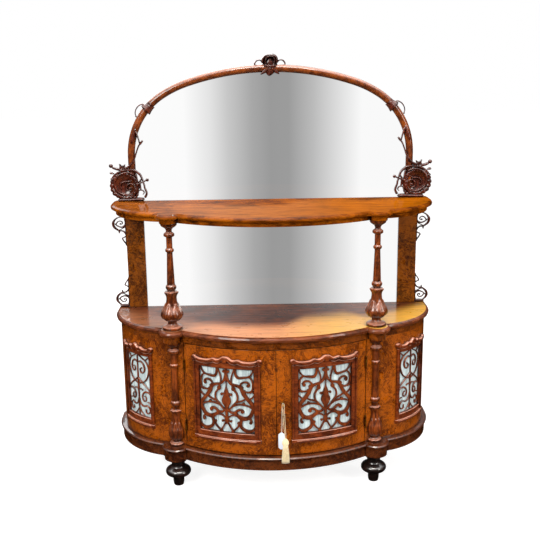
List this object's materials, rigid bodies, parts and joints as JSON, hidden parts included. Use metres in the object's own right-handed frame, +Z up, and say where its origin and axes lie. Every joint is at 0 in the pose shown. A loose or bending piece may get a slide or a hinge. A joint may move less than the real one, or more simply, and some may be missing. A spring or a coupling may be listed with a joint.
{
  "type": "chiffonier",
  "caption": "Serpentine walnut mirror-back chiffonier with a pair of bowed fret doors, curved fret ends, turned columns and an arched mirror above a shelf.",
  "frame": {"origin": "middle of the bounding box on the floor plane, under the turned feet", "axes": "+X to the right as seen from the front, +Y from the front to the wall behind, +Z up"},
  "size_m": [1.3334, 0.5116, 1.698],
  "materials": {
    "walnut_veneer": "french polished burr figure",
    "walnut_moulding": "french polished",
    "carved_walnut": "polished, dark stained",
    "ebonised_wood": "gloss",
    "secondary_wood": "unfinished",
    "mirror_glass": "silvered",
    "pleated_silk": "soft sheen",
    "brass": "polished, a little worn",
    "lock_steel": "satin",
    "cream_thread": "silky thread",
    "tag_card": "matt card"
  },
  "bodies": {
    "carcass": {"base_top": "walnut_veneer", "base_frieze": "walnut_veneer", "upper_shelf": "walnut_veneer", "end_panel_right": "walnut_veneer", "end_panel_left": "walnut_veneer", "column_stile_right": "walnut_veneer", "column_stile_left": "walnut_veneer", "pilaster_right": "walnut_veneer", "pilaster_left": "walnut_veneer", "plinth": "walnut_moulding", "upper_column_right": "walnut_moulding", "upper_column_left": "walnut_moulding", "lower_column_right": "walnut_moulding", "lower_column_left": "walnut_moulding", "arch_frame": "walnut_moulding", "end_mouldings": "walnut_moulding", "scroll_boss_right": "carved_walnut", "scroll_boss_left": "carved_walnut", "brackets_right": "carved_walnut", "brackets_left": "carved_walnut", "tendrils": "carved_walnut", "arch_collars": "carved_walnut", "crest": "carved_walnut", "end_fret_right": "carved_walnut", "end_fret_left": "carved_walnut", "foot_front_right": "ebonised_wood", "foot_front_left": "ebonised_wood", "feet_rear": "ebonised_wood", "bottom_board": "secondary_wood", "partition_right": "secondary_wood", "partition_left": "secondary_wood", "interior_shelf": "secondary_wood", "base_backboard": "secondary_wood", "lower_backboard": "secondary_wood", "upper_backboard": "secondary_wood", "lower_mirror": "mirror_glass", "upper_mirror": "mirror_glass", "end_silks": "pleated_silk", "hinges_fixed": "brass"},
    "left_door": {"door_left": "walnut_veneer", "door_moulding_left": "walnut_moulding", "door_fret_left": "carved_walnut", "door_silk_left": "pleated_silk", "hinges_door_left": "brass", "bolt_plates": "brass"},
    "right_door": {"door_right": "walnut_veneer", "door_moulding_right": "walnut_moulding", "door_fret_right": "carved_walnut", "door_silk_right": "pleated_silk", "hinges_door_right": "brass", "lock_case": "lock_steel", "escutcheon": "brass", "tassel": "cream_thread", "tassel_cord": "cream_thread", "tag": "tag_card", "tag_string": "tag_card"},
    "door_key": {"key": "brass"},
    "lock_bolt": {"lock_bolt": "lock_steel"},
    "upper_slip_bolt": {"bolt_upper": "brass"},
    "lower_slip_bolt": {"bolt_lower": "brass"}
  },
  "joints": [
    {"name": "right_door_swing", "type": "hinge", "parent": "carcass", "child": "right_door", "pos_m": [0.35677, -0.11066, 0.39], "axis": [0, 0, 1], "range_deg": [0, 100]},
    {"name": "left_door_swing", "type": "hinge", "parent": "carcass", "child": "left_door", "pos_m": [-0.35677, -0.11066, 0.39], "axis": [0, 0, -1], "range_deg": [0, 100]},
    {"name": "key_turn", "type": "hinge", "parent": "right_door", "child": "door_key", "pos_m": [0.025, -0.24515, 0.393], "axis": [0, 1, 0], "range_deg": [0, 90]},
    {"name": "lock_bolt_slide", "type": "slide", "parent": "right_door", "child": "lock_bolt", "axis": [-1, 0, 0], "range_m": [0, 0.008]},
    {"name": "upper_slip_bolt_slide", "type": "slide", "parent": "left_door", "child": "upper_slip_bolt", "axis": [0, 0, 1], "range_m": [0, 0.012]},
    {"name": "lower_slip_bolt_slide", "type": "slide", "parent": "left_door", "child": "lower_slip_bolt", "axis": [0, 0, -1], "range_m": [0, 0.012]}
  ],
  "couplings": [
    {"joint": "key_turn", "follows": "lock_bolt_slide", "rad_per_m": 196.3}
  ]
}
